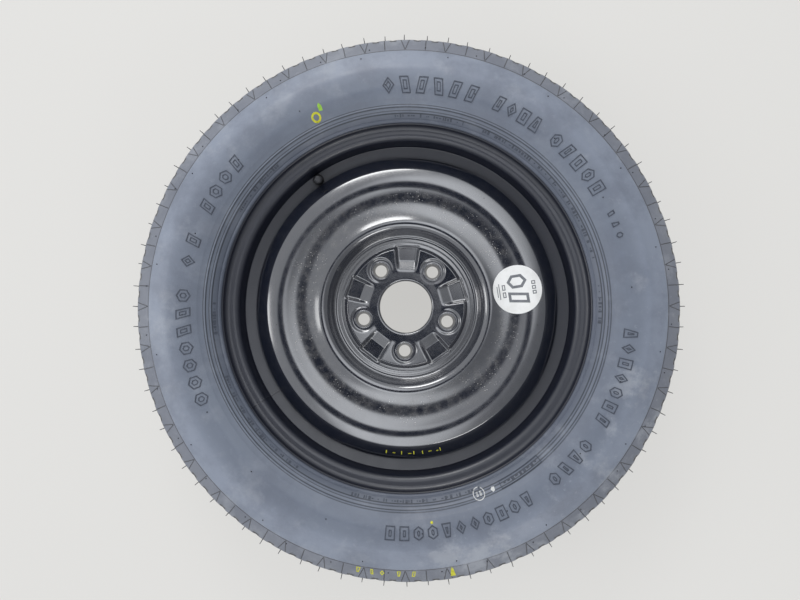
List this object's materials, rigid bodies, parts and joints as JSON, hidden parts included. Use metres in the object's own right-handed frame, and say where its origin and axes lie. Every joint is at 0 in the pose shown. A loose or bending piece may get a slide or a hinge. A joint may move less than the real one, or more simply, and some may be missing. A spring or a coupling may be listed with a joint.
{
  "type": "space saver spare wheel",
  "caption": "Narrow temporary spare wheel: 17 inch pressed steel wheel with a five-stud hub and a slim tyre.",
  "frame": {"origin": "middle of the hub seat plane, on the wheel's axis", "axes": "+Z along the wheel's axis, out of the car; the first pad's nut seat and the valve lie at 124.5 degrees from +X towards +Y"},
  "size_m": [0.696, 0.696, 0.167],
  "materials": {
    "tyre_rubber": "satin",
    "wheel_paint": "gloss",
    "weld_steel": "satin",
    "valve_rubber": "satin",
    "cap_plastic": "satin",
    "valve_brass": "satin",
    "seal_rubber": "matt",
    "spring_steel": "bright",
    "label_film": "gloss"
  },
  "bodies": {
    "wheel": {"tyre": "tyre_rubber", "rim": "wheel_paint", "disc": "wheel_paint", "weld_1": "weld_steel", "weld_2": "weld_steel", "weld_3": "weld_steel", "weld_4": "weld_steel", "valve_body": "valve_rubber", "valve_stem": "valve_brass", "core_plug": "valve_brass", "core_barrel": "valve_brass", "core_gasket": "seal_rubber", "core_spring": "spring_steel", "speed_label": "label_film"},
    "cap_washer": {"cap_seal": "seal_rubber"},
    "cap": {"valve_cap": "cap_plastic"},
    "core": {"core_pin": "valve_brass", "core_cup": "valve_brass", "core_seal": "seal_rubber"}
  },
  "joints": [
    {"name": "cap_lift", "type": "slide", "parent": "wheel", "child": "cap_washer", "axis": [0.137, -0.1994, 0.9703], "range_m": [0, 0.0099]},
    {"name": "cap_turn", "type": "hinge", "parent": "cap_washer", "child": "cap", "pos_m": [-0.11285, 0.1642, 0.02247], "axis": [0.137, -0.1994, 0.9703], "range_deg": [0, 4500]},
    {"name": "core_press", "type": "slide", "parent": "wheel", "child": "core", "axis": [-0.137, 0.1994, -0.9703], "range_m": [0, 0.0012], "stiffness_N_per_m": 900, "deforming": ["core_spring"]}
  ],
  "couplings": [
    {"joint": "cap_turn", "follows": "cap_lift", "rad_per_m": 7915.8}
  ]
}
